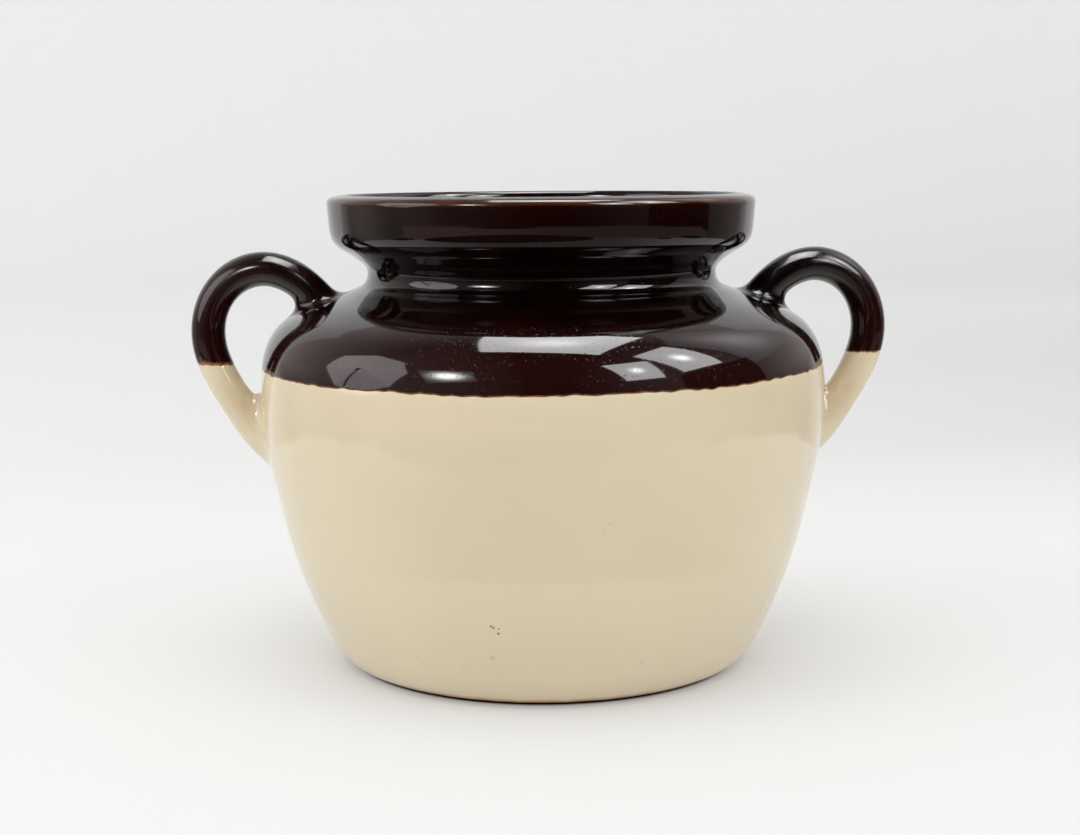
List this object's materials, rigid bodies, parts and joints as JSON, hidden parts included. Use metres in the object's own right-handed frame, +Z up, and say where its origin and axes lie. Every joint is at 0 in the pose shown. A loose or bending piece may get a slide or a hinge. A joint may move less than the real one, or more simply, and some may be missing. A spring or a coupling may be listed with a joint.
{
  "type": "butter crock",
  "caption": "Round stoneware butter crock with a thick rim band, waisted neck and loop handles at the shoulder, glazed brown above a dip line and cream below.",
  "frame": {"origin": "centre of the foot, on the surface that the crock stands on", "axes": "+Z up through the mouth; X runs through both handles; the front of the crock faces -Y"},
  "size_m": [0.2288, 0.184, 0.1525],
  "materials": {
    "stoneware_clay": "fired bare stoneware, matt, rust-toned at the foot",
    "brown_glaze": "very dark red-brown glaze, high gloss, breaking rust-brown on edges",
    "cream_glaze": "warm cream glaze, gloss, with fine pinholes"
  },
  "bodies": {
    "root": {"pot_body": "stoneware_clay", "handle_left": "stoneware_clay", "handle_right": "stoneware_clay", "brown_glaze": "brown_glaze", "cream_glaze": "cream_glaze"}
  },
  "joints": []
}
